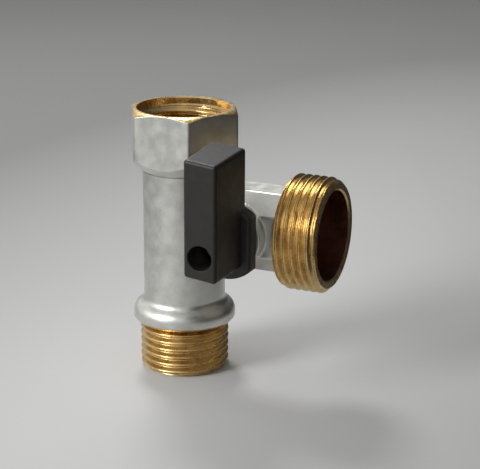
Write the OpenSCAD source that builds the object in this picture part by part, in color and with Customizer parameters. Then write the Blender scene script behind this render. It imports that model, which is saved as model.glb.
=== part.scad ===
// Three-way ball valve for an appliance connection.
// The main run goes straight up through a tube and is always open. A small ball valve
// shuts the side branch, and a black moulded lever turns its ball through a quarter turn.
//
// Millimetres. The origin is the centre of the lower thread's end face. +Z runs up the
// main tube, +X runs out along the branch, and the lever faces -Y.
// The model is shown shut, with the lever upright along the tube.

/* [Main run] */
// Height from the lower end face to the mouth of the upper socket
total_h = 63; // [60:0.5:80]
// Outer diameter of the plain tube
tube_d = 19.2; // [18.4:0.1:20.4]
// Diameter of the waterway through the main run
waterway_d = 14.8; // [11:0.1:15.2]

/* [Lower connection] */
// Crest diameter of the lower male thread
lower_thread_d = 20.955; // [20.4:0.005:21.6]
// Length of the lower threaded end, up to the collar
lower_thread_len = 11.9; // [9:0.1:12.5]
// Diameter of the collar above the lower thread
collar_d = 24.1; // [23:0.1:26]
// Height of the collar's straight rim
collar_rim_h = 2; // [1:0.1:3]
// Radius of the collar's rounded shoulder
collar_shoulder_r = 2.6; // [1.5:0.1:3]
// Radius of the hollow fillet from the shoulder to the tube
collar_fillet_r = 1.8; // [1:0.1:2.4]

/* [Upper connection] */
// Width across the flats of the hexagon
hex_af = 23.8; // [22.8:0.1:26]
// Radius of the hexagon's upright edges
hex_edge_r = 1; // [0.4:0.1:2]
// Height from the foot of the hexagon's lower cone to the mouth
hex_h = 14.2; // [13:0.1:15]
// Angle of the turned chamfer on the hexagon's upper corners
hex_top_chamfer = 27; // [15:1:40]
// Minor diameter of the upper female thread
socket_minor_d = 18.631; // [18:0.001:18.8]
// Depth of the upper socket
socket_depth = 13; // [11:0.1:13.2]
// Diameter of the counterbore at the socket's mouth
mouth_d = 21.5; // [20.8:0.1:22]
// Depth of the counterbore at the socket's mouth
mouth_depth = 1.6; // [1:0.1:2.5]
// Chamfer round the edge of the socket's mouth
mouth_chamfer = 0.25; // [0.1:0.05:0.5]

/* [Branch] */
// Height of the branch's axis
branch_z = 36.8; // [34:0.1:38]
// Reach of the branch from the main axis to its end face
branch_len = 37.4; // [36.8:0.1:44]
// Width across the flats of the eight-sided neck
neck_af = 18.5; // [18:0.1:19]
// How far the neck's long edges are trimmed back
neck_edge_trim = 0.09; // [0.05:0.01:0.3]
// Radius of the hollow fillet behind the outlet ring
neck_fillet_r = 2; // [1:0.1:2.4]
// Crest diameter of the outlet's male thread
outlet_thread_d = 26.441; // [25.8:0.001:27]
// Width of the threaded outlet ring
outlet_ring_w = 10.1; // [9.8:0.1:13]
// Diameter of the outlet's bore
outlet_bore_d = 20.7; // [19:0.1:21.4]
// Depth of the outlet's bore
outlet_bore_depth = 8.6; // [7:0.1:9]

/* [Threads] */
// Pitch of all three pipe threads
pitch = 1.814; // [1.4:0.001:2]
// Depth of a thread from crest to root
thread_depth = 1.162; // [0.8:0.001:1.2]

/* [Ball and seats] */
// Distance from the main axis to the axis of the stem
stem_x = 17; // [16.9:0.1:17.6]
// Diameter of the ball
ball_d = 12; // [11:0.1:12.4]
// Diameter of the hole through the ball and of the port behind it
ball_bore_d = 7.5; // [5:0.1:7.8]
// Diameter of the chamber round the ball
chamber_d = 13.5; // [13.2:0.1:14]
// Width of a seat along the branch
seat_w = 2.6; // [2.2:0.1:2.8]
// How far a seat reaches over the ball, from the ball's centre
seat_face = 3.5; // [3.2:0.1:4]
// Diameter of the threaded ring that holds the seats
retainer_d = 15.2; // [14.6:0.1:15.8]
// Width of the slots that the retainer is screwed in by
retainer_slot_w = 2; // [1:0.1:3]
// Depth of those slots
retainer_slot_depth = 1.5; // [0.8:0.1:2.5]

/* [Stem] */
// Diameter of the stem
stem_d = 5.3; // [4.9:0.1:5.6]
// Diameter of the collar that keeps the stem in
stem_flange_d = 7; // [6.8:0.1:7.6]
// Thickness of that collar
stem_flange_t = 0.6; // [0.4:0.05:0.8]
// Thickness of the thrust washer on the collar
washer_t = 0.4; // [0.3:0.05:0.5]
// Width of the key that turns the ball
key_w = 2.2; // [1.6:0.1:2.6]
// Length of the key along the branch
key_l = 5; // [3:0.1:6]
// How deep the key reaches into the ball
key_depth = 1.5; // [1:0.1:1.6]
// Diameter of the boss that the stem comes out of
boss_d = 14; // [13:0.1:14.6]
// Distance from the branch's axis to the end of the boss
boss_reach = 11.2; // [11.1:0.1:11.4]
// Thickness of the cord of a stem seal
seal_cord_d = 0.9; // [0.8:0.05:1]
// Width across the stem's two driving flats
drive_af = 4.1; // [3.6:0.1:4.6]
// Length of the driving flats
drive_len = 4.6; // [4:0.1:5]

/* [Handle] */
// Width of the lever
lever_w = 7.2; // [6.6:0.1:8.4]
// Distance from the branch's axis to the lever's front face
lever_front = 27.9; // [26:0.1:30]
// Distance from the branch's axis to the lever's back face
lever_back = 12.5; // [12.4:0.1:12.9]
// How far the lever's top lies above the stem's axis, at the front
lever_up = 21.2; // [19:0.1:23]
// How far the lever's foot lies below the stem's axis
lever_down = 5.1; // [4.4:0.1:6]
// Sideways slope of the lever's top and foot, in degrees
lever_end_slope = 6; // [0:0.5:8]
// Rise of the lever's top towards the back, in degrees
lever_top_rise = 2.6; // [0:0.1:5]
// Radius of the lever's edges
lever_edge_r = 1.1; // [0.5:0.1:1.6]
// Wall of the hollow lever
lever_wall = 1.5; // [1.2:0.1:1.9]
// Diameter of the hub behind the lever
hub_d = 17.4; // [16.6:0.1:18]
// Width of the hub across its flattened sides
hub_w = 13.6; // [13.4:0.1:14.4]
// Thickness of the hub along the stem
hub_t = 3.6; // [3:0.1:4]
// Radius of the hub's front edge
hub_edge_r = 0.9; // [0.3:0.1:1.3]
// Diameter of the hole that the handle screw goes down
screw_well_d = 5.6; // [5.2:0.1:5.8]
// Depth of that hole from the lever's front face
screw_well_depth = 9.9; // [9:0.1:10.2]
// Quarter turn between shut and open, in degrees
turn = 90; // [80:1:95]

/* [Handle screw] */
// Thread diameter of the handle screw
screw_d = 3; // [2.5:0.1:3.2]
// Length of the screw under its head
screw_len = 7; // [6:0.1:7.5]
// Diameter of the screw's head
screw_head_d = 5; // [4.4:0.1:5.1]
// Height of the screw's head
screw_head_h = 1.9; // [1.4:0.1:2.2]
// Length of one arm pair of the cross recess
recess_l = 2.6; // [2:0.1:3]
// Width of an arm of the cross recess
recess_w = 0.6; // [0.4:0.05:0.8]

/* [Stop] */
// Radius at which the stop lug stands on the boss
stop_r = 5; // [4.8:0.1:5.1]
// Width of the stop lug
stop_w = 1.4; // [1:0.1:1.6]
// Height of the stop lug above the boss
stop_h = 1.3; // [0.9:0.1:1.6]
// Direction of the stop lug round the stem, in degrees from +X towards +Z
stop_angle = 225; // [215:1:235]

/* [Clearances] */
// Running gap round the stem, on the radius
stem_gap = 0.05; // [0.03:0.01:0.08]
// Gap between sealing parts and what they seal on
seal_gap = 0.05; // [0.03:0.01:0.08]
// Gap round the screwed parts, on the radius
thread_gap = 0.05; // [0.03:0.01:0.1]
// Gap between the handle and the parts that it turns over
handle_gap = 0.2; // [0.15:0.05:0.3]
// Gap between the handle and the stem that it is pushed on to, and round the ball's key
push_gap = 0.05; // [0.03:0.01:0.1]
// Gap round the stem's collar, and between it and the ball
flange_gap = 0.2; // [0.1:0.05:0.3]

/* [Hidden] */
$fn = 96;
// How far a cutting tool runs past the face that it opens
over = 1;

plated = "silver";
raw_brass = "goldenrod";
seat_white = "whitesmoke";
seal_black = "dimgray";
moulded_black = "#262422";

tube_r = tube_d / 2;
waterway_r = waterway_d / 2;
ball_r = ball_d / 2;
port_r = ball_bore_d / 2;
chamber_r = chamber_d / 2;

// Collar: the centres of its shoulder arc and of the fillet that meets the tube
collar_r = collar_d / 2;
shoulder_x = collar_r - collar_shoulder_r;
shoulder_z = lower_thread_len + collar_rim_h;
fillet_x = tube_r + collar_fillet_r;
arc_gap = collar_shoulder_r + collar_fillet_r;
fillet_z = shoulder_z + sqrt(pow(arc_gap, 2) - pow(fillet_x - shoulder_x, 2));
collar_edge = 0.35;

// Hexagon
hex_corner_r = (hex_af / 2 - hex_edge_r) / cos(30) + hex_edge_r;
hex_foot_step = 0.7;
hex_foot_r = tube_r + hex_foot_step;
hex_foot_z = total_h - hex_h;
hex_land_r = hex_af / 2;

// Outlet ring, measured along the branch
ring_x = branch_len - outlet_ring_w;
outlet_r = outlet_thread_d / 2;
ring_end_chamfer = 1.2;
ring_back_chamfer = 0.7;
outlet_floor_x = branch_len - outlet_bore_depth;
outlet_bore_chamfer = 0.3;
// The end chamfer runs just below the thread's root
lower_end_chamfer = 1.07 * thread_depth;
relief_w = 0.7 * pitch;

// Seats, one on each side of the ball
inner_seat_x = stem_x - seat_face - seat_w;
outer_seat_x = stem_x + seat_face;
chamber_end_x = outer_seat_x + seat_w + seal_gap;
retainer_x = chamber_end_x + seal_gap;
retainer_inset = 0.3;
retainer_end_x = outlet_floor_x - retainer_inset;

// Stem, measured outward from the branch's axis
stem_r = stem_d / 2;
key_tip = ball_r - key_depth;
flange_y = ball_r + flange_gap;
washer_y = flange_y + stem_flange_t + seal_gap;
pocket_y = washer_y + washer_t + seal_gap;
seal_groove_play = 0.2;
seal_groove_w = seal_cord_d + seal_groove_play;
seal_groove_land = 0.45;
inner_groove_y = pocket_y + seal_groove_land;
outer_groove_y = inner_groove_y + seal_groove_w + seal_groove_land;
hub_y = boss_reach + handle_gap;
hub_front_y = hub_y + hub_t;
web_y = lever_front - screw_well_depth;
web_t = 1.4;
stem_end = web_y - web_t - handle_gap;
stop_sweep_gap = asin(handle_gap / stop_r);
stop_half_angle = asin(stop_w / 2 / stop_r);
stop_depth = stop_h + handle_gap;

// A hexagon, af across the flats, with rounded corners. The first flat faces +X.
module rounded_hexagon(af, r) {
    half = (af / 2 - r) * tan(30);
    polygon([for (a = [0 : 60 : 300]) for (s = [-1, 1])
        [af / 2 * cos(a) - s * half * sin(a), af / 2 * sin(a) + s * half * cos(a)]]);
    for (a = [30 : 60 : 330])
        rotate(a) translate([(af / 2 - r) / cos(30), 0]) circle(r, $fn = 48);
}

// An octagon, af across the flats, with its corners turned down by trim. A flat faces +X.
module trimmed_octagon(af, trim) {
    corner_r = af / 2 / cos(22.5);
    intersection() {
        polygon([for (a = [22.5 : 45 : 337.5]) corner_r * [cos(a), sin(a)]]);
        circle(corner_r - trim);
    }
}

// Turns a shape drawn along +Z so that it runs out along the branch
module along_branch() {
    translate([0, 0, branch_z]) rotate([0, 90, 0]) children();
}

// Turns a shape drawn along +Z so that it runs out along the stem, towards -Y
module along_stem() {
    translate([stem_x, 0, branch_z]) rotate([90, 0, 0]) children();
}

// Half section of the lower end: thread, relief groove, collar and the fillet to the tube
module lower_profile() {
    crest = lower_thread_d / 2;
    root = crest - thread_depth;
    polygon([
        [0, 0], [crest - lower_end_chamfer, 0], [crest, lower_end_chamfer],
        [crest, lower_thread_len - relief_w], [root, lower_thread_len - relief_w + thread_depth / 2],
        [root, lower_thread_len], [collar_r - collar_edge, lower_thread_len],
        [collar_r, lower_thread_len + collar_edge], [collar_r, shoulder_z],
        [shoulder_x, shoulder_z], [0, shoulder_z]]);
    translate([shoulder_x, shoulder_z]) intersection() {
        circle(collar_shoulder_r);
        square(collar_shoulder_r);
    }
    difference() {
        polygon([
            [0, shoulder_z], [shoulder_x, shoulder_z], [fillet_x, fillet_z], [0, fillet_z]]);
        translate([fillet_x, fillet_z]) circle(collar_fillet_r);
    }
}

// The envelope that turns both ends of the hexagon: a flat top with a chamfer, and a cone below
module hex_profile() {
    reach = hex_corner_r + over;
    top_drop = (reach - hex_land_r) * tan(hex_top_chamfer);
    polygon([
        [0, hex_foot_z], [hex_foot_r, hex_foot_z], [reach, hex_foot_z + reach - hex_foot_r],
        [reach, total_h - top_drop], [hex_land_r, total_h], [0, total_h]]);
}

module hexagon() {
    intersection() {
        translate([0, 0, hex_foot_z]) linear_extrude(hex_h)
            rotate(90) rounded_hexagon(hex_af, hex_edge_r);
        rotate_extrude() hex_profile();
    }
}

// Half section of the outlet ring, its axis along the branch
module ring_profile() {
    polygon([
        [0, ring_x], [outlet_r - ring_back_chamfer, ring_x],
        [outlet_r, ring_x + ring_back_chamfer], [outlet_r, branch_len - ring_end_chamfer],
        [outlet_r - ring_end_chamfer, branch_len], [0, branch_len]]);
    difference() {
        translate([0, ring_x - neck_fillet_r]) square([neck_af / 2 + neck_fillet_r, neck_fillet_r]);
        translate([neck_af / 2 + neck_fillet_r, ring_x - neck_fillet_r]) circle(neck_fillet_r);
    }
}

module neck() {
    along_branch() linear_extrude(ring_x + over) trimmed_octagon(neck_af, neck_edge_trim);
}

// Stands on the end of the boss and stops the handle at both ends of its turn
module stop_lug() {
    along_stem() rotate(stop_angle) translate([stop_r - stop_w / 2, -stop_w / 2, boss_reach - over])
        cube([stop_w, stop_w, over + stop_h]);
}

module main_waterway() {
    socket_floor = total_h - socket_depth;
    minor_r = socket_minor_d / 2;
    counter_z = total_h - mouth_depth;
    rotate_extrude() polygon([
        [0, -over], [waterway_r, -over], [waterway_r, socket_floor],
        [minor_r, socket_floor], [minor_r, counter_z - (mouth_d / 2 - minor_r)],
        [mouth_d / 2, counter_z], [mouth_d / 2, total_h - mouth_chamfer],
        [mouth_d / 2 + mouth_chamfer + over, total_h + over], [0, total_h + over]]);
}

module branch_bores() {
    outlet_bore_r = outlet_bore_d / 2;
    along_branch() rotate_extrude() polygon([
        [0, 0], [port_r, 0], [port_r, inner_seat_x], [chamber_r, inner_seat_x],
        [chamber_r, chamber_end_x], [retainer_d / 2 + thread_gap, chamber_end_x],
        [retainer_d / 2 + thread_gap, outlet_floor_x], [outlet_bore_r, outlet_floor_x],
        [outlet_bore_r, branch_len - outlet_bore_chamfer],
        [outlet_bore_r + outlet_bore_chamfer + over, branch_len + over], [0, branch_len + over]]);
}

module stem_bores() {
    along_stem() {
        cylinder(h = pocket_y, r = stem_flange_d / 2 + flange_gap);
        cylinder(h = boss_reach + over, r = stem_r + stem_gap);
    }
}

// One forged and plated piece with three machined ends
module body() {
    color(plated) difference() {
        union() {
            rotate_extrude() lower_profile();
            translate([0, 0, shoulder_z]) cylinder(h = hex_foot_z + over - shoulder_z, r = tube_r);
            hexagon();
            neck();
            along_branch() rotate_extrude() ring_profile();
            along_stem() cylinder(h = boss_reach, d = boss_d);
            stop_lug();
        }
        main_waterway();
        branch_bores();
        stem_bores();
    }
}

// A ring with a hollow face that the ball beds in, from x outward along the branch
module seat(x) {
    color(seat_white) difference() {
        along_branch() translate([0, 0, x]) difference() {
            cylinder(h = seat_w, r = chamber_r - seal_gap);
            translate([0, 0, -over]) cylinder(h = seat_w + 2 * over, r = port_r);
        }
        translate([stem_x, 0, branch_z]) sphere(r = ball_r + seal_gap);
    }
}

module inner_seat() {
    seat(inner_seat_x);
}

module outer_seat() {
    seat(outer_seat_x);
}

// Screwed into the neck from the outlet, with two slots for the tool
module seat_retainer() {
    length = retainer_end_x - retainer_x;
    color(raw_brass) along_branch() translate([0, 0, retainer_x]) difference() {
        cylinder(h = length, r = retainer_d / 2);
        translate([0, 0, -over]) cylinder(h = length + 2 * over, r = port_r);
        translate([-retainer_d, -retainer_slot_w / 2, length - retainer_slot_depth])
            cube([2 * retainer_d, retainer_slot_w, retainer_slot_depth + over]);
    }
}

// Shown shut, with its hole upright. The slot lets the ball float against a seat.
module ball() {
    slot_w = key_w + 2 * push_gap;
    color("lightgray") difference() {
        translate([stem_x, 0, branch_z]) sphere(r = ball_r);
        translate([stem_x, 0, branch_z - ball_d]) cylinder(h = 2 * ball_d, r = port_r);
        translate([stem_x - ball_r, -ball_d, branch_z - slot_w / 2])
            cube([ball_d, ball_d - key_tip + seal_gap, slot_w]);
    }
}

// Half section of the stem above its key, outward along +Y
module stem_profile() {
    groove_r = stem_r - seal_cord_d;
    polygon([
        [0, flange_y], [stem_flange_d / 2, flange_y],
        [stem_flange_d / 2, flange_y + stem_flange_t], [stem_r, flange_y + stem_flange_t],
        [stem_r, inner_groove_y], [groove_r, inner_groove_y],
        [groove_r, inner_groove_y + seal_groove_w], [stem_r, inner_groove_y + seal_groove_w],
        [stem_r, outer_groove_y], [groove_r, outer_groove_y],
        [groove_r, outer_groove_y + seal_groove_w], [stem_r, outer_groove_y + seal_groove_w],
        [stem_r, stem_end], [0, stem_end]]);
}

module stem() {
    screw_tip = web_y - screw_len;
    color(raw_brass) along_stem() difference() {
        union() {
            rotate_extrude() stem_profile();
            translate([-key_l / 2, -key_w / 2, key_tip])
                cube([key_l, key_w, flange_y - key_tip + stem_flange_t / 2]);
        }
        for (s = [-1, 1])
            translate([-stem_d, s * (drive_af / 2 + stem_d) - stem_d, stem_end - drive_len])
                cube([2 * stem_d, 2 * stem_d, drive_len + over]);
        translate([0, 0, screw_tip - handle_gap])
            cylinder(h = stem_end - screw_tip + handle_gap + over, r = screw_d / 2 + thread_gap);
    }
}

module stem_thrust_washer() {
    color(seat_white) along_stem() translate([0, 0, washer_y]) difference() {
        cylinder(h = washer_t, d = stem_flange_d);
        translate([0, 0, -over]) cylinder(h = washer_t + 2 * over, r = stem_r + stem_gap);
    }
}

// A ring of round cord that sits in one of the stem's grooves
module stem_seal(groove_y) {
    cord_r = seal_cord_d / 2;
    ring_r = stem_r + stem_gap - seal_gap - cord_r;
    color(seal_black) along_stem() translate([0, 0, groove_y + seal_groove_w / 2])
        rotate_extrude() translate([ring_r, 0]) circle(cord_r, $fn = 32);
}

module inner_stem_seal() {
    stem_seal(inner_groove_y);
}

module outer_stem_seal() {
    stem_seal(outer_groove_y);
}

// The lever's block: a ball at each corner gives every edge the same radius.
// Its ends slope sideways, and its top also rises towards the back.
module lever_block() {
    r = lever_edge_r;
    half_w = lever_w / 2 - r;
    near = lever_back + r;
    far = lever_front - r;
    side_drop = half_w * tan(lever_end_slope);
    back_rise = (far - near) * tan(lever_top_rise);
    hull() for (s = [-1, 1]) for (y = [near, far]) {
        rise = y == near ? back_rise : 0;
        for (z = [r - lever_down, lever_up - r + rise])
            translate([s * half_w, z - s * side_drop, y]) sphere(r, $fn = 32);
    }
}

// The hub behind the lever: a round disc with a rounded front edge and flattened sides
module hub() {
    intersection() {
        translate([0, 0, hub_y]) rotate_extrude() {
            square([hub_d / 2 - hub_edge_r, hub_t]);
            square([hub_d / 2, hub_t - hub_edge_r]);
            translate([hub_d / 2 - hub_edge_r, hub_t - hub_edge_r]) circle(hub_edge_r);
        }
        translate([-hub_w / 2, -hub_d, 0]) cube([hub_w, 2 * hub_d, 2 * lever_back]);
    }
}

// The hollow moulded into the back of the lever, above the hub, with one rib across it
module lever_hollow() {
    inner_w = lever_w - 2 * lever_wall;
    rib_t = 0.8 * lever_wall;
    foot = hub_d / 2 + rib_t / 3;
    top = lever_up - lever_wall - inner_w / 2 * tan(lever_end_slope);
    depth = lever_front - lever_wall - lever_back;
    difference() {
        translate([-inner_w / 2, foot, lever_back - over]) cube([inner_w, top - foot, depth + over]);
        translate([-lever_w / 2, (foot + top - rib_t) / 2, lever_back + 2 * over])
            cube([lever_w, rib_t, depth]);
    }
}

// The track that the stop lug runs in as the handle turns
module stop_track() {
    from = stop_angle - turn - stop_half_angle - stop_sweep_gap;
    sweep = turn + 2 * (stop_half_angle + stop_sweep_gap);
    inner = stop_r - stop_w / 2 - handle_gap;
    outer = norm([stop_r + stop_w / 2, stop_w / 2]) + handle_gap;
    translate([0, 0, hub_y - over]) rotate(from) rotate_extrude(angle = sweep)
        translate([inner, 0]) square([outer - inner, over + stop_depth]);
}

// Moulded in one piece: lever, hub, drive socket and screw hole
module handle() {
    socket_r = stem_r + push_gap;
    color(moulded_black) along_stem() difference() {
        union() {
            lever_block();
            hub();
        }
        lever_hollow();
        stop_track();
        intersection() {
            translate([0, 0, hub_y - over]) cylinder(h = web_y - web_t - hub_y + over, r = socket_r);
            union() {
                translate([-stem_d, -drive_af / 2 - push_gap, 0])
                    cube([2 * stem_d, drive_af + 2 * push_gap, lever_front]);
                cylinder(h = stem_end - drive_len + handle_gap, r = stem_d);
            }
        }
        translate([0, 0, hub_y]) cylinder(h = lever_front, r = screw_d / 2 + handle_gap);
        translate([0, 0, web_y]) cylinder(h = screw_well_depth + over, d = screw_well_d);
    }
}

module handle_screw() {
    recess_depth = 0.6 * screw_head_h;
    edge = 0.5;
    color("gainsboro") along_stem() translate([0, 0, web_y]) difference() {
        rotate_extrude() polygon([
            [0, -screw_len], [screw_d / 2 - edge, -screw_len], [screw_d / 2, edge - screw_len],
            [screw_d / 2, 0], [screw_head_d / 2, 0], [screw_head_d / 2, screw_head_h - edge],
            [screw_head_d / 2 - edge, screw_head_h], [0, screw_head_h]]);
        for (a = [0, 90])
            rotate(a) translate([-recess_l / 2, -recess_w / 2, screw_head_h - recess_depth])
                cube([recess_l, recess_w, recess_depth + over]);
    }
}

body();
inner_seat();
outer_seat();
seat_retainer();
ball();
stem();
stem_thrust_washer();
inner_stem_seal();
outer_stem_seal();
handle();
handle_screw();
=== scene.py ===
import math

import bmesh
import bpy
import numpy as np
from mathutils import Matrix, Vector


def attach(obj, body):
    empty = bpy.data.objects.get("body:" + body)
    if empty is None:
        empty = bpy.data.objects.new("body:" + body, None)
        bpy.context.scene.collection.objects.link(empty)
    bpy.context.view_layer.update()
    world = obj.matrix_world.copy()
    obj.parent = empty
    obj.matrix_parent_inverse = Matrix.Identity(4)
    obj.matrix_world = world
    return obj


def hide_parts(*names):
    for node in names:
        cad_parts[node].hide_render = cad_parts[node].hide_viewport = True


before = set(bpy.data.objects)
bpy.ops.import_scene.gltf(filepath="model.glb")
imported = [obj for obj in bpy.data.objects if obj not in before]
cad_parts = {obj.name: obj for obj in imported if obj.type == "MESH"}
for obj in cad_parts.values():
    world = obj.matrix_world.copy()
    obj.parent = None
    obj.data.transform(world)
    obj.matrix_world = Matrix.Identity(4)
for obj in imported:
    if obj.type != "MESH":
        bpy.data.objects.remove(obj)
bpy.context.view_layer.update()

MM = 0.001

# Sizes in millimetres. The neck, the collar's edge, the lever, the hub and its stop follow
# the photograph more closely than the CAD model does; the rest is as in the CAD model.
TOTAL_H = 63.0
TUBE_R = 9.6
WATERWAY_R = 7.4
PITCH = 1.814
THREAD_DEPTH = 1.162
LOWER_CREST_R = 10.4775
LOWER_LEN = 11.9
COLLAR_R = 12.05
COLLAR_EDGE_W, COLLAR_EDGE_H = 0.6, 0.8
SHOULDER_X, SHOULDER_Z, SHOULDER_R = 9.45, 13.9, 2.6
FILLET_X, FILLET_Z, FILLET_R = 11.4, 17.84, 1.8
HEX_HALF = 11.9
HEX_EDGE_R = 1.0
HEX_FOOT_R, HEX_FOOT_Z = 10.3, 48.8
TUBE_FLARE, TUBE_FLARE_H = 0.3, 2.2
HEX_CHAMFER = math.radians(27)
SOCKET_MINOR_R = 9.3155
SOCKET_FLOOR_Z = 50.0
COUNTERBORE_Z = 61.4
MOUTH_R = 10.75
BRANCH_Z = 36.8
BRANCH_END = 37.4
NECK_HALF = 9.25
NECK_DEPTH_HALF = 8.2
NECK_EDGE_R = 0.6
NECK_START = 2.0
RING_X = 27.3
RING_CREST_R = 13.2205
RING_FILLET_R = 3.0
RING_BORE_R = 10.35
RING_FLOOR_X = 28.8
STEM_X = 17.0
BOSS_R = 7.0
BOSS_REACH = 11.2
LEVER_W, LEVER_FRONT, LEVER_BACK = 7.7, 27.9, 12.5
LEVER_UP, LEVER_DOWN = 21.2, 5.1
LEVER_SLOPE, LEVER_RISE, LEVER_DRAFT = math.radians(6.5), math.radians(3), math.radians(1.3)
LEVER_EDGE_R = 0.8
HUB_R, HUB_W, HUB_BACK, HUB_FRONT, HUB_EDGE_R = 8.7, 12.4, 11.4, 15.0, 0.9
STOP_R, STOP_HALF, STOP_H = 4.6, 0.7, 1.3
WELL_R, WELL_FLOOR = 2.8, 18.0

scene = bpy.context.scene


# Mesh helpers
def mesh_object(name, points, faces):
    """A mesh object from points in millimetres."""
    mesh = bpy.data.meshes.new(name)
    mesh.from_pydata((np.asarray(points, float) * MM).tolist(), [], faces)
    mesh.update()
    obj = bpy.data.objects.new(name, mesh)
    scene.collection.objects.link(obj)
    return obj


def lathe(name, angles, rows, place=None):
    """A closed solid about +Z. Each row is (radius, height), numbers or arrays over the angles."""
    n = len(angles)
    cos, sin = np.cos(angles), np.sin(angles)
    points = []
    for radius, height in rows:
        r = np.broadcast_to(radius, n)
        z = np.broadcast_to(height, n)
        points.append(np.stack([r * cos, r * sin, z], 1))
    bottom = [[0, 0, float(np.mean(rows[0][1]))]]
    top = [[0, 0, float(np.mean(rows[-1][1]))]]
    flat = np.concatenate([*points, bottom, top])
    faces = []
    for k in range(len(rows) - 1):
        for i in range(n):
            j = (i + 1) % n
            faces.append((k * n + i, k * n + j, (k + 1) * n + j, (k + 1) * n + i))
    low, high = len(flat) - 2, len(flat) - 1
    last = (len(rows) - 1) * n
    for i in range(n):
        j = (i + 1) % n
        faces.append((low, j, i))
        faces.append((high, last + i, last + j))
    if place is not None:
        flat = place(flat)
    return mesh_object(name, flat, faces)


def along_branch(p):
    """From a shape about +Z to one along +X, round the branch's axis."""
    return np.stack([p[:, 2], p[:, 1], BRANCH_Z - p[:, 0]], 1)


def along_stem(p):
    """From a shape about +Z to one along -Y, round the stem's axis."""
    return np.stack([STEM_X + p[:, 0], -p[:, 2], BRANCH_Z + p[:, 1]], 1)


def torus_of_sections(name, sections):
    """A closed ring of closed sections: an array of (ring, section, xyz)."""
    rings, n = sections.shape[:2]
    faces = []
    for a in range(rings):
        b = (a + 1) % rings
        for i in range(n):
            j = (i + 1) % n
            faces.append((a * n + i, a * n + j, b * n + j, b * n + i))
    obj = mesh_object(name, sections.reshape(-1, 3), faces)
    fix_normals(obj)
    return obj


def box(name, low, high, place=None, turn=0.0):
    x0, y0, z0 = low
    x1, y1, z1 = high
    p = np.array([[x0, y0, z0], [x1, y0, z0], [x1, y1, z0], [x0, y1, z0],
                  [x0, y0, z1], [x1, y0, z1], [x1, y1, z1], [x0, y1, z1]], float)
    c, s = math.cos(turn), math.sin(turn)
    p = np.stack([p[:, 0] * c - p[:, 1] * s, p[:, 0] * s + p[:, 1] * c, p[:, 2]], 1)
    if place is not None:
        p = place(p)
    faces = [(0, 3, 2, 1), (4, 5, 6, 7), (0, 1, 5, 4), (1, 2, 6, 5), (2, 3, 7, 6), (3, 0, 4, 7)]
    obj = mesh_object(name, p, faces)
    fix_normals(obj)
    return obj


def fix_normals(obj):
    bm = bmesh.new()
    bm.from_mesh(obj.data)
    bmesh.ops.recalc_face_normals(bm, faces=bm.faces)
    if bm.calc_volume(signed=True) < 0:
        bmesh.ops.reverse_faces(bm, faces=bm.faces)
    bm.to_mesh(obj.data)
    bm.free()


def apply_modifiers(obj):
    graph = bpy.context.evaluated_depsgraph_get()
    mesh = bpy.data.meshes.new_from_object(obj.evaluated_get(graph))
    obj.modifiers.clear()
    obj.data = mesh


def combine(target, how, *others):
    """Boolean union, difference or intersection of target with each other solid, which is used up."""
    for other in others:
        mod = target.modifiers.new("boolean", "BOOLEAN")
        mod.operation = how
        mod.solver = "MANIFOLD"
        mod.object = other
        apply_modifiers(target)
        bpy.data.objects.remove(other)
    return target


def finish_surface(obj, angle=32.0):
    """Merges what the booleans split, marks sharp edges and shades smooth with weighted normals."""
    bm = bmesh.new()
    bm.from_mesh(obj.data)
    bmesh.ops.remove_doubles(bm, verts=bm.verts, dist=1e-7)
    bmesh.ops.dissolve_degenerate(bm, edges=bm.edges, dist=1e-7)
    limit = math.radians(angle)
    for e in bm.edges:
        e.smooth = not (len(e.link_faces) == 2 and e.calc_face_angle(0.0) > limit)
    for f in bm.faces:
        f.smooth = True
    bm.to_mesh(obj.data)
    bm.free()
    mod = obj.modifiers.new("weighted", "WEIGHTED_NORMAL")
    mod.keep_sharp = True
    mod.weight = 60


# Outlines and threads
def dense_angles(step, corners, spread, count):
    """Angles round a circle: one every step, with count more on each side of every corner."""
    base = np.arange(0, 360, step)
    for c in corners:
        away = np.abs((base - c + 180) % 360 - 180)
        base = base[away > spread * 1.3]
    extra = [c + s for c in corners for s in np.linspace(-spread, spread, 2 * count + 1)]
    return np.radians(np.sort(np.concatenate([base, np.array(extra) % 360])))


def polygon_radius(angles, sides, half, edge_r, first):
    """Polar radius of a regular outline with rounded corners; first is the direction of one flat."""
    step = 2 * math.pi / sides
    off = (angles - first + step / 2) % step - step / 2
    flat = half / np.cos(off)
    gap = step / 2 - np.abs(off)
    d = (half - edge_r) / math.cos(step / 2)
    under = np.maximum(edge_r**2 - (d * np.sin(gap))**2, 0)
    arc = d * np.cos(gap) + np.sqrt(under)
    tangent = math.atan((half - edge_r) * math.tan(step / 2) / half)
    return np.where(np.abs(off) > tangent, arc, flat)


def soft_min(a, b, k):
    h = np.clip(0.5 + 0.5 * (b - a) / k, 0, 1)
    return b + (a - b) * h - k * h * (1 - h)


def soft_max(a, b, k):
    return -soft_min(-a, -b, k)


def thread_radius(angles, z, root, depth, phase=0.0):
    """A right-hand pipe thread with rounded crests and roots."""
    turn = (z / PITCH - angles / (2 * math.pi) + phase) % 1.0
    rise = 1 - np.abs(2 * turn - 1)
    full = 0.960491 * PITCH / THREAD_DEPTH
    height = full * rise - full / 6
    return root + depth * soft_max(soft_min(height, 1.0, 0.22), 0.0, 0.22)


def heights(z0, z1, step):
    return np.linspace(z0, z1, max(2, int(round((z1 - z0) / step)) + 1))


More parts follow.
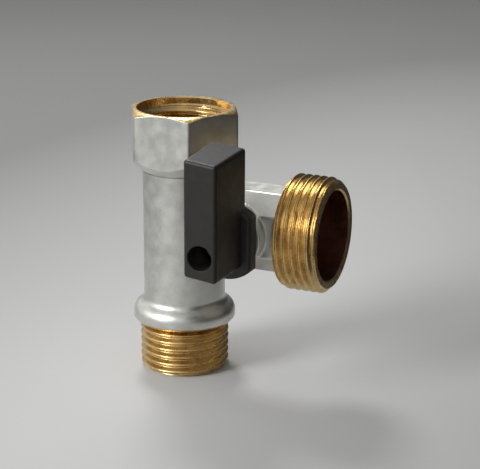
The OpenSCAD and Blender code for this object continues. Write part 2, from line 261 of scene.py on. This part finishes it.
# Valve body
def main_outer():
    corners = [60.0 * k for k in range(6)]
    angles = dense_angles(1.6, corners, 2.4, 3)
    rows = []
    end_r = LOWER_CREST_R - 1.07 * THREAD_DEPTH
    relief_z = LOWER_LEN - 0.7 * PITCH
    root = LOWER_CREST_R - THREAD_DEPTH
    for z in heights(0, LOWER_LEN - 0.45, 0.095):
        r = thread_radius(angles, z, root, THREAD_DEPTH, 0.53)
        r = np.minimum(r, end_r + z)
        if z > relief_z:
            r = np.minimum(r, max(root, LOWER_CREST_R - 2 * (z - relief_z)))
        rows.append((r, z))
    rows.append((root, LOWER_LEN))
    # Collar: chamfered rim, shoulder and hollow fillet
    rim_z = LOWER_LEN + COLLAR_EDGE_H
    rows += [(COLLAR_R - COLLAR_EDGE_W - 0.12, LOWER_LEN), (COLLAR_R - COLLAR_EDGE_W, LOWER_LEN + 0.05),
             (COLLAR_R - 0.07, rim_z - 0.1), (COLLAR_R, rim_z + 0.05), (COLLAR_R, SHOULDER_Z)]
    meet = math.atan2(FILLET_Z - SHOULDER_Z, FILLET_X - SHOULDER_X)
    for a in np.linspace(0, meet, 14)[1:]:
        rows.append((SHOULDER_X + SHOULDER_R * math.cos(a), SHOULDER_Z + SHOULDER_R * math.sin(a)))
    for a in np.linspace(math.pi + meet, math.pi, 10)[1:]:
        rows.append((FILLET_X + FILLET_R * math.cos(a), FILLET_Z + FILLET_R * math.sin(a)))
    rows.append((TUBE_R, HEX_FOOT_Z - TUBE_FLARE_H))
    flare_r = TUBE_R + TUBE_FLARE
    rows += [(flare_r, HEX_FOOT_Z - 0.4), (flare_r - 0.3, HEX_FOOT_Z - 0.3), (flare_r - 0.3, HEX_FOOT_Z),
             (HEX_FOOT_R - 0.12, HEX_FOOT_Z), (HEX_FOOT_R, HEX_FOOT_Z + 0.08)]
    # Hexagon: the cone below, the upright faces and the turned chamfer above
    hexagon = polygon_radius(angles, 6, HEX_HALF, HEX_EDGE_R, math.pi / 6)
    low = HEX_FOOT_Z + hexagon - HEX_FOOT_R
    high = TOTAL_H - (hexagon - HEX_HALF) * math.tan(HEX_CHAMFER)
    soft = 0.13
    rows.append((hexagon - soft, low - soft))
    rows.append((hexagon - 0.03, low + 0.02))
    rows.append((hexagon, low + soft))
    rows.append((hexagon, high - soft))
    rows.append((hexagon - 0.03, high - 0.03))
    rows.append((hexagon - soft, np.minimum(high + soft * math.tan(HEX_CHAMFER), TOTAL_H)))
    rows.append((np.minimum(HEX_HALF, hexagon - 1.4 * soft), TOTAL_H))
    return lathe("valve_casting", angles, rows)


def neck_radius(angles, offset=0.0):
    """Polar radius of the neck: an octagon flattened at front and back; angle 0 is down the local x axis."""
    octagon = polygon_radius(angles, 8, NECK_HALF + offset, NECK_EDGE_R + offset, 0.0)
    flats = (NECK_DEPTH_HALF + offset) / np.maximum(np.abs(np.sin(angles)), 1e-3)
    return soft_min(octagon, flats, 0.12)


def neck_and_ring():
    side = math.degrees(math.atan2(NECK_DEPTH_HALF, NECK_HALF * math.sqrt(2) - NECK_DEPTH_HALF))
    corners = [22.5, 157.5, 202.5, 337.5, side, 180 - side, 180 + side, 360 - side]
    angles = dense_angles(1.5, corners, 3.2, 3)
    octagon = neck_radius(angles)
    rows = [(octagon, NECK_START)]
    start = RING_X - RING_FILLET_R
    centre = NECK_DEPTH_HALF + RING_FILLET_R
    rows.append((octagon, start - 0.8))
    for a in np.linspace(0, math.pi / 2, 13):
        fillet = centre - RING_FILLET_R * math.cos(a)
        rows.append((soft_max(octagon, fillet, 0.35), start + RING_FILLET_R * math.sin(a)))
    back = 0.7
    rows += [(RING_CREST_R - back - 0.1, RING_X), (RING_CREST_R - back, RING_X + 0.06)]
    root = RING_CREST_R - THREAD_DEPTH
    full_x = BRANCH_END - 1.2
    for x in heights(RING_X + 0.2, BRANCH_END, 0.095):
        r = thread_radius(angles, x, root, THREAD_DEPTH, 0.48)
        r = np.minimum(r, RING_CREST_R - back + (x - RING_X - 0.06))
        r = np.minimum(r, RING_CREST_R - max(0.0, x - full_x))
        rows.append((r, x))
    return lathe("neck_and_ring", angles, rows, along_branch)


def boss():
    angles = np.radians(np.arange(0, 360, 3.0))
    edge = 0.35
    rows = [(BOSS_R, 3.0), (BOSS_R, BOSS_REACH - edge)]
    for a in np.linspace(0, math.pi / 2, 5)[1:]:
        rows.append((BOSS_R - edge + edge * math.cos(a), BOSS_REACH - edge + edge * math.sin(a)))
    return lathe("boss", angles, rows, along_stem)


def waterway_cutter():
    angles = np.radians(np.arange(0, 360, 2.0))
    rows = [(WATERWAY_R + 1.35, -1.0), (WATERWAY_R, 0.35), (WATERWAY_R, SOCKET_FLOOR_Z),
            (SOCKET_MINOR_R, SOCKET_FLOOR_Z)]
    cone_z = COUNTERBORE_Z - (MOUTH_R - SOCKET_MINOR_R)
    for z in heights(SOCKET_FLOOR_Z + 0.6, COUNTERBORE_Z, 0.1):
        r = thread_radius(angles, z, SOCKET_MINOR_R, THREAD_DEPTH, 0.3)
        r = np.minimum(r, SOCKET_MINOR_R + max(0.0, z - SOCKET_FLOOR_Z - 1.0))
        r = np.maximum(r, SOCKET_MINOR_R + max(0.0, z - cone_z))
        rows.append((r, z))
    rows += [(MOUTH_R, TOTAL_H - 0.25), (MOUTH_R + 0.25, TOTAL_H), (MOUTH_R + 1.25, TOTAL_H + 1.0)]
    return lathe("waterway_cutter", angles, rows)


def branch_cutter():
    angles = np.radians(np.arange(0, 360, 2.5))
    rows = [(3.75, 0.0), (3.75, 10.9), (6.75, 10.9), (6.75, 23.15), (7.65, 23.15), (7.65, RING_FLOOR_X - 0.3),
            (7.95, RING_FLOOR_X), (RING_BORE_R - 0.25, RING_FLOOR_X), (RING_BORE_R, RING_FLOOR_X + 0.25),
            (RING_BORE_R, BRANCH_END - 0.35), (RING_BORE_R + 1.35, BRANCH_END + 1.0)]
    return lathe("branch_cutter", angles, rows, along_branch)


def stem_cutter():
    angles = np.radians(np.arange(0, 360, 5.0))
    rows = [(3.7, 0.0), (3.7, 7.3), (2.7, 7.3), (2.7, BOSS_REACH + 1.0)]
    return lathe("stem_cutter", angles, rows, along_stem)


def neck_outline(offset):
    """Points of the neck's outline, moved out by offset, and their normals, as (y, z) about its axis."""
    angles = np.radians(np.arange(0, 360, 2.0))
    r = neck_radius(angles, offset)
    points = np.stack([r * np.sin(angles), r * np.cos(angles)], 1)
    ahead, behind = np.roll(points, -1, 0), np.roll(points, 1, 0)
    along = ahead - behind
    normals = np.stack([along[:, 1], -along[:, 0]], 1)
    normals *= np.sign(np.sum(normals * points, 1))[:, None]
    return points, normals / np.linalg.norm(normals, axis=1)[:, None]


def rolling_fillet(name, centres, toward_a, toward_b, radius):
    """The web that a rolling ball leaves between two surfaces: its centres, and unit vectors to each surface."""
    sink = 0.012
    sections = []
    for c, a, b in zip(centres, toward_a, toward_b):
        angle = math.acos(max(-1.0, min(1.0, float(a @ b))))
        arc = []
        for t in np.linspace(0, 1, 9):
            d = (math.sin((1 - t) * angle) * a + math.sin(t * angle) * b) / math.sin(angle)
            arc.append(c + (radius + sink) * d)
        middle = (a + b) / np.linalg.norm(a + b)
        arc.append(c + (radius / math.cos(angle / 2) + 0.5) * middle)
        sections.append(arc)
    return torus_of_sections(name, np.array(sections))


def tube_fillet(radius=1.4):
    points, normals = neck_outline(radius)
    centres, to_tube, to_neck = [], [], []
    for (y, z), (ny, nz) in zip(points, normals):
        x = math.sqrt((TUBE_R + radius)**2 - y * y)
        centres.append(np.array([x, y, BRANCH_Z + z]))
        to_tube.append(-np.array([x, y, 0]) / math.hypot(x, y))
        to_neck.append(-np.array([0, ny, nz]))
    return rolling_fillet("tube_fillet", centres, to_tube, to_neck, radius)


def boss_fillet(radius=0.5):
    """Round the foot of the boss, on the neck's front flat and the slopes above and below it."""
    points, normals = neck_outline(radius)
    front = points[:, 0] > 0.5
    points, normals = points[front], normals[front]
    order = np.argsort(points[:, 1])
    points, normals = points[order], normals[order]
    centres, to_boss, to_neck = [], [], []
    for a in np.radians(np.arange(0, 360, 4.0)):
        x, z = (BOSS_R + radius) * math.cos(a), (BOSS_R + radius) * math.sin(a)
        y = np.interp(z, points[:, 1], points[:, 0])
        n = np.array([np.interp(z, points[:, 1], normals[:, k]) for k in (0, 1)])
        n /= np.linalg.norm(n)
        centres.append(np.array([STEM_X + x, -y, BRANCH_Z + z]))
        to_boss.append(-np.array([math.cos(a), 0, math.sin(a)]))
        to_neck.append(-np.array([0, -n[0], n[1]]))
    return rolling_fillet("boss_fillet", centres, to_boss, to_neck, radius)


def valve_body():
    casting = main_outer()
    lug = box("lug", (STOP_R - STOP_HALF, -STOP_HALF, BOSS_REACH - 1),
              (STOP_R + STOP_HALF, STOP_HALF, BOSS_REACH + STOP_H), along_stem, math.radians(225))
    combine(casting, "UNION", neck_and_ring(), boss(), tube_fillet(), boss_fillet(), lug)
    combine(casting, "DIFFERENCE", waterway_cutter(), branch_cutter(), stem_cutter())
    finish_surface(casting)
    return casting


# Handle
def rounded_hull(name, centres, radius):
    """The convex hull of equal balls: a block with rounded edges."""
    ball = []
    for a in np.linspace(-math.pi / 2, math.pi / 2, 13):
        for b in np.linspace(0, 2 * math.pi, 24, endpoint=False):
            ball.append([math.cos(a) * math.cos(b), math.cos(a) * math.sin(b), math.sin(a)])
    ball = np.unique(np.round(ball, 6), axis=0) * radius
    bm = bmesh.new()
    for c in centres:
        for q in along_stem(np.array(c) + ball):
            bm.verts.new(q * MM)
    made = bmesh.ops.convex_hull(bm, input=bm.verts)
    spare = {e for e in made["geom_interior"] + made["geom_unused"] if isinstance(e, bmesh.types.BMVert)}
    bmesh.ops.delete(bm, geom=list(spare), context="VERTS")
    bmesh.ops.dissolve_limit(bm, angle_limit=math.radians(0.3), verts=bm.verts, edges=bm.edges)
    bmesh.ops.recalc_face_normals(bm, faces=bm.faces)
    mesh = bpy.data.meshes.new(name)
    bm.to_mesh(mesh)
    bm.free()
    obj = bpy.data.objects.new(name, mesh)
    scene.collection.objects.link(obj)
    return obj


def lever():
    centres = []
    for side in (-1, 1):
        for deep in (0.0, LEVER_FRONT - LEVER_BACK - 2 * LEVER_EDGE_R):
            x = side * (LEVER_W / 2 - LEVER_EDGE_R + deep * math.tan(LEVER_DRAFT))
            top = LEVER_UP - LEVER_EDGE_R + deep * math.tan(LEVER_RISE)
            for z in (LEVER_EDGE_R - LEVER_DOWN, top):
                centres.append((x, z - x * math.tan(LEVER_SLOPE), LEVER_FRONT - LEVER_EDGE_R - deep))
    return rounded_hull("lever_handle", centres, LEVER_EDGE_R)


def hub():
    corner = math.degrees(math.acos(HUB_W / 2 / HUB_R))
    angles = dense_angles(3.0, [corner, 180 - corner, 180 + corner, 360 - corner], 4.0, 3)
    outline = soft_min(HUB_R, HUB_W / 2 / np.maximum(np.abs(np.cos(angles)), 1e-3), 0.25)
    rows = [(outline - 0.2, HUB_BACK), (outline, HUB_BACK + 0.2)]
    for a in np.linspace(0, math.pi / 2, 7):
        rows.append((outline - HUB_EDGE_R * (1 - math.cos(a)), HUB_FRONT - HUB_EDGE_R * (1 - math.sin(a))))
    return lathe("hub", angles, rows, along_stem)


def well_cutter():
    angles = np.radians(np.arange(0, 360, 4.0))
    rows = [(1.7, HUB_BACK - 1), (1.7, WELL_FLOOR), (WELL_R, WELL_FLOOR), (WELL_R, LEVER_FRONT - 0.15),
            (WELL_R + 0.95, LEVER_FRONT + 0.8)]
    return lathe("well_cutter", angles, rows, along_stem)


def socket_cutter():
    angles = dense_angles(5.0, [49.4, 130.6, 229.4, 310.6], 2.0, 1)
    flats = np.minimum(2.7, 2.1 / np.maximum(np.abs(np.sin(angles)), 1e-3))
    rows = [(2.7, HUB_BACK - 1), (2.7, 12.0), (flats, 12.0), (flats, 16.6)]
    return lathe("socket_cutter", angles, rows, along_stem)


def track_cutter():
    inner, outer, start, sweep = 3.7, 5.546, 123.754, 112.492
    low, high = HUB_BACK - 1, HUB_BACK + 1.5
    points, faces = [], []
    steps = np.radians(np.linspace(start, start + sweep, 32))
    for a in steps:
        c, s = math.cos(a), math.sin(a)
        for r, z in ((inner, low), (outer, low), (outer, high), (inner, high)):
            points.append([r * c, r * s, z])
    for k in range(len(steps) - 1):
        for i in range(4):
            j = (i + 1) % 4
            faces.append((4 * k + i, 4 * k + j, 4 * k + 4 + j, 4 * k + 4 + i))
    last = 4 * (len(steps) - 1)
    faces += [(3, 2, 1, 0), (last, last + 1, last + 2, last + 3)]
    obj = mesh_object("track_cutter", along_stem(np.array(points)), faces)
    fix_normals(obj)
    return obj


def handle():
    block = lever()
    half, back, deep = LEVER_W / 2 - 1.5, LEVER_BACK - 1, LEVER_FRONT - 1.5
    foot, ceiling, rib = 9.1, 19.7 - half * math.tan(LEVER_SLOPE), 0.6
    middle = (foot + ceiling) / 2
    hollows = [box("hollow", (-half, low, back), (half, high, top), along_stem)
               for low, high, top in ((foot, middle - rib, deep), (middle + rib, ceiling, deep),
                                      (foot, ceiling, 14.5))]
    combine(block, "UNION", hub())
    combine(block, "DIFFERENCE", well_cutter(), socket_cutter(), track_cutter(), *hollows)
    finish_surface(block, 28.0)
    return block


# Materials
def new_material(name):
    mat = bpy.data.materials.new(name)
    mat.use_nodes = True
    return mat, mat.node_tree, mat.node_tree.nodes["Principled BSDF"]


def node(tree, kind, inputs=None, **settings):
    made = tree.nodes.new(kind)
    for key, value in settings.items():
        setattr(made, key, value)
    for key, value in (inputs or {}).items():
        if isinstance(value, bpy.types.NodeSocket):
            tree.links.new(value, made.inputs[key])
        else:
            made.inputs[key].default_value = value
    return made


def noise(tree, where, scale, detail=3.0, rough=0.5):
    return node(tree, "ShaderNodeTexNoise", {"Vector": where, "Scale": scale, "Detail": detail,
                                             "Roughness": rough}).outputs["Fac"]


def ramp(tree, fac, *stops):
    """A colour ramp from (place, colour) stops."""
    made = node(tree, "ShaderNodeValToRGB", {"Fac": fac})
    elements = made.color_ramp.elements
    elements[0].position, elements[1].position = stops[0][0], stops[-1][0]
    for place, _ in stops[1:-1]:
        elements.new(place)
    for element, (_, colour) in zip(elements, stops):
        element.color = (*colour, 1)
    return made.outputs["Color"]


def spread(tree, fac, low, high, start=0.3, end=0.7):
    return node(tree, "ShaderNodeMapRange", {"Value": fac, "From Min": start, "From Max": end, "To Min": low,
                                             "To Max": high}).outputs["Result"]


def bump(tree, height, strength, distance, under=None):
    inputs = {"Height": height, "Strength": strength, "Distance": distance}
    if under is not None:
        inputs["Normal"] = under
    return node(tree, "ShaderNodeBump", inputs).outputs["Normal"]


def finish_material(name, colours, roughness, metallic, grain, blotch=350.0, speckle=5200.0):
    """A finish with blotches of colour and roughness, a fine speckle and a shallow grain.

    colours and roughness are (low, high); grain is the depth of the grain in millimetres.
    """
    mat, tree, shader = new_material(name)
    where = node(tree, "ShaderNodeTexCoord").outputs["Object"]
    wide = noise(tree, where, blotch, 4.0)
    fine = noise(tree, where, speckle, 2.0, 0.6)
    both = node(tree, "ShaderNodeMath", {0: wide, 1: fine}, operation="ADD").outputs[0]
    half = node(tree, "ShaderNodeMath", {0: both, 1: 0.5}, operation="MULTIPLY").outputs[0]
    tree.links.new(ramp(tree, half, (0.36, colours[0]), (0.62, colours[1])), shader.inputs["Base Color"])
    tree.links.new(spread(tree, half, *roughness, 0.38, 0.6), shader.inputs["Roughness"])
    shader.inputs["Metallic"].default_value = metallic
    first = bump(tree, wide, 0.6, 2.5 * grain * MM)
    tree.links.new(bump(tree, fine, 0.7, grain * MM, first), shader.inputs["Normal"])
    return mat


PLATED = finish_material("plated", ((0.56, 0.565, 0.53), (0.72, 0.72, 0.68)), (0.33, 0.47), 1.0, 0.006)
BRASS = finish_material("raw_brass", ((0.50, 0.33, 0.14), (0.80, 0.60, 0.29)), (0.2, 0.36), 1.0, 0.004)
# Raw brass painted darker and redder: painted shade for the inside of the waterway and the branch bore.
SHADED_BORE = finish_material("bore_painted_shade", ((0.20, 0.085, 0.065), (0.32, 0.14, 0.105)), (0.3, 0.45), 1.0, 0.005)
BLACK = finish_material("moulded_black", ((0.0085, 0.0073, 0.0067), (0.012, 0.0103, 0.0095)), (0.42, 0.55), 0.0,
                        0.008, 600.0, 6500.0)
ZINC = finish_material("zinc_steel", ((0.5, 0.5, 0.48), (0.7, 0.7, 0.68)), (0.25, 0.4), 1.0, 0.003)
CHROME = finish_material("bright_chrome", ((0.6, 0.6, 0.61), (0.72, 0.72, 0.73)), (0.08, 0.16), 1.0, 0.001)
SEAT = finish_material("seat_white", ((0.74, 0.74, 0.72), (0.82, 0.82, 0.80)), (0.4, 0.5), 0.0, 0.003)
RUBBER = finish_material("seal_rubber", ((0.012, 0.012, 0.012), (0.02, 0.02, 0.02)), (0.55, 0.7), 0.0, 0.004)


def paint_body(obj):
    obj.data.materials.clear()
    for m in (PLATED, BRASS, SHADED_BORE):
        obj.data.materials.append(m)
    for p in obj.data.polygons:
        x, y, z = (v / MM for v in p.center)
        n = p.normal
        r = math.hypot(x, y)
        branch_r = math.hypot(y, z - BRANCH_Z)
        outward = x * n.x + y * n.y > 0.02
        index = 0
        # Index 2, the inside of the waterway, takes brass with painted shade.
        if r < WATERWAY_R + 0.1 and 0.4 < z < SOCKET_FLOOR_Z - 0.1:
            index = 2
        elif z < LOWER_LEN + COLLAR_EDGE_H - 0.1:
            index = 1
        elif z > SOCKET_FLOOR_Z - 0.1 and r < MOUTH_R + 0.3 and not outward:
            index = 1
        elif z > TOTAL_H - 3 and n.z > 0.35:
            index = 1
        elif x > RING_X - 0.02 and branch_r > RING_BORE_R + 0.1:
            index = 1
        # The inside of the branch bore also takes brass with painted shade.
        elif x > RING_FLOOR_X - 0.4 and branch_r < RING_BORE_R + 0.05:
            index = 2
        p.material_index = index


body = valve_body()
paint_body(body)
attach(body, "valve_body")
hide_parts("body")

grip = handle()
grip.data.materials.clear()
grip.data.materials.append(BLACK)
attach(grip, "turning_group")
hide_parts("handle")

FINISHES = {
    "body": PLATED, "inner_seat": SEAT, "outer_seat": SEAT, "seat_retainer": BRASS, "ball": CHROME, "stem": BRASS,
    "stem_thrust_washer": SEAT, "inner_stem_seal": RUBBER, "outer_stem_seal": RUBBER, "handle": BLACK,
    "handle_screw": ZINC,
}
for name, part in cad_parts.items():
    part.data.materials.clear()
    part.data.materials.append(FINISHES[name])


# Camera, floor and light
def aim_camera():
    azimuth, elevation, roll = math.radians(23.657), math.radians(17.314), math.radians(0.382)
    back = Vector((math.sin(azimuth) * math.cos(elevation), -math.cos(azimuth) * math.cos(elevation),
                   math.sin(elevation)))
    right = Vector((math.cos(azimuth), math.sin(azimuth), 0))
    up = back.cross(right)
    right, up = right * math.cos(roll) + up * math.sin(roll), up * math.cos(roll) - right * math.sin(roll)
    cam = bpy.data.objects.new("camera", bpy.data.cameras.new("camera"))
    cam.data.lens = 113.99
    cam.data.sensor_width = 36
    cam.data.clip_start, cam.data.clip_end = 0.01, 20
    cam.matrix_world = Matrix((right, up, back)).transposed().to_4x4()
    cam.location = (0.14915, -0.30784, 0.13886)
    scene.collection.objects.link(cam)
    scene.camera = cam


def floor_painted_light_pool():
    """A pale floor with a painted pool of light: its colour darkens away from the object."""
    mat, tree, shader = new_material("floor_painted_light_pool")
    where = node(tree, "ShaderNodeTexCoord").outputs["Object"]
    turned = node(tree, "ShaderNodeMapping", {"Vector": where, "Location": (0.0, 0.0, 0.0),
                                              "Rotation": (0, 0, -math.radians(23.657)), "Scale": (1.0, 0.36, 1.0)})
    distance = node(tree, "ShaderNodeVectorMath", {0: turned.outputs["Vector"]}, operation="LENGTH").outputs["Value"]
    # Painted pool of light: light grey near the object, dark grey further away.
    colour = ramp(tree, spread(tree, distance, 0.0, 1.0, 0.0, 0.16), (0.0, (0.52, 0.52, 0.52)),
                  (1.0, (0.22, 0.22, 0.22)))
    tree.links.new(colour, shader.inputs["Base Color"])
    shader.inputs["Roughness"].default_value = 0.85
    return mat


aim_camera()
floor = mesh_object("floor", [(-4000, -4000, 0), (4000, -4000, 0), (4000, 4000, 0), (-4000, 4000, 0)],
                    [(0, 1, 2, 3)])
floor.data.materials.append(floor_painted_light_pool())


def area_light(name, location, target, size, power):
    lamp = bpy.data.lights.new(name, "AREA")
    lamp.shape = "DISK"
    lamp.size = size
    lamp.energy = power
    obj = bpy.data.objects.new(name, lamp)
    obj.location = location
    obj.rotation_mode = "QUATERNION"
    obj.rotation_quaternion = (Vector(target) - Vector(location)).to_track_quat("-Z", "Y")
    scene.collection.objects.link(obj)
    return obj


def studio_world():
    """Grey surroundings, lighter to the left of the photograph's view and darker to its right."""
    world = bpy.data.worlds.new("studio")
    world.use_nodes = True
    tree = world.node_tree
    where = node(tree, "ShaderNodeTexCoord").outputs["Generated"]
    side = node(tree, "ShaderNodeVectorMath", {0: where, 1: LIGHT_SIDE}, operation="DOT_PRODUCT").outputs["Value"]
    share = spread(tree, side, 0.0, 1.0, -1.0, 1.0)
    colour = ramp(tree, share, (0.0, (0.13, 0.135, 0.13)), (0.35, (0.16, 0.165, 0.16)), (0.6, (0.5, 0.5, 0.49)),
                  (1.0, (0.8, 0.8, 0.79)))
    tree.links.new(colour, tree.nodes["Background"].inputs["Color"])
    scene.world = world


def dark_card():
    """A dark panel to the right of the photograph's view, seen only in the reflections on the metal."""
    right, away = np.array([0.916, 0.401, 0.0]), np.array([-0.401, 0.916, 0.0])
    corners = [CARD_REACH * right + side * CARD_HALF * away + np.array([0, 0, z])
               for side, z in ((-1, 0.5), (1, 0.5), (1, CARD_TOP), (-1, CARD_TOP))]
    card = mesh_object("card", corners, [(0, 1, 2, 3)])
    mat, tree, shader = new_material("card_paint")
    shader.inputs["Base Color"].default_value = (0.03, 0.03, 0.03, 1)
    shader.inputs["Roughness"].default_value = 1.0
    card.data.materials.append(mat)
    card.visible_camera = card.visible_shadow = card.visible_diffuse = False


CARD_REACH, CARD_HALF, CARD_TOP = 75.0, 220.0, 160.0
LIGHT_SIDE = (-0.78, -0.5, 0.38)
dark_card()
studio_world()
area_light("key", (-0.3, -0.46, 0.36), (0.01, 0, 0.03), 0.26, 2.8)
area_light("back", (-0.22, 0.3, 0.5), (0.01, 0, 0.03), 0.16, 1.6)

scene.view_settings.view_transform = "Standard"
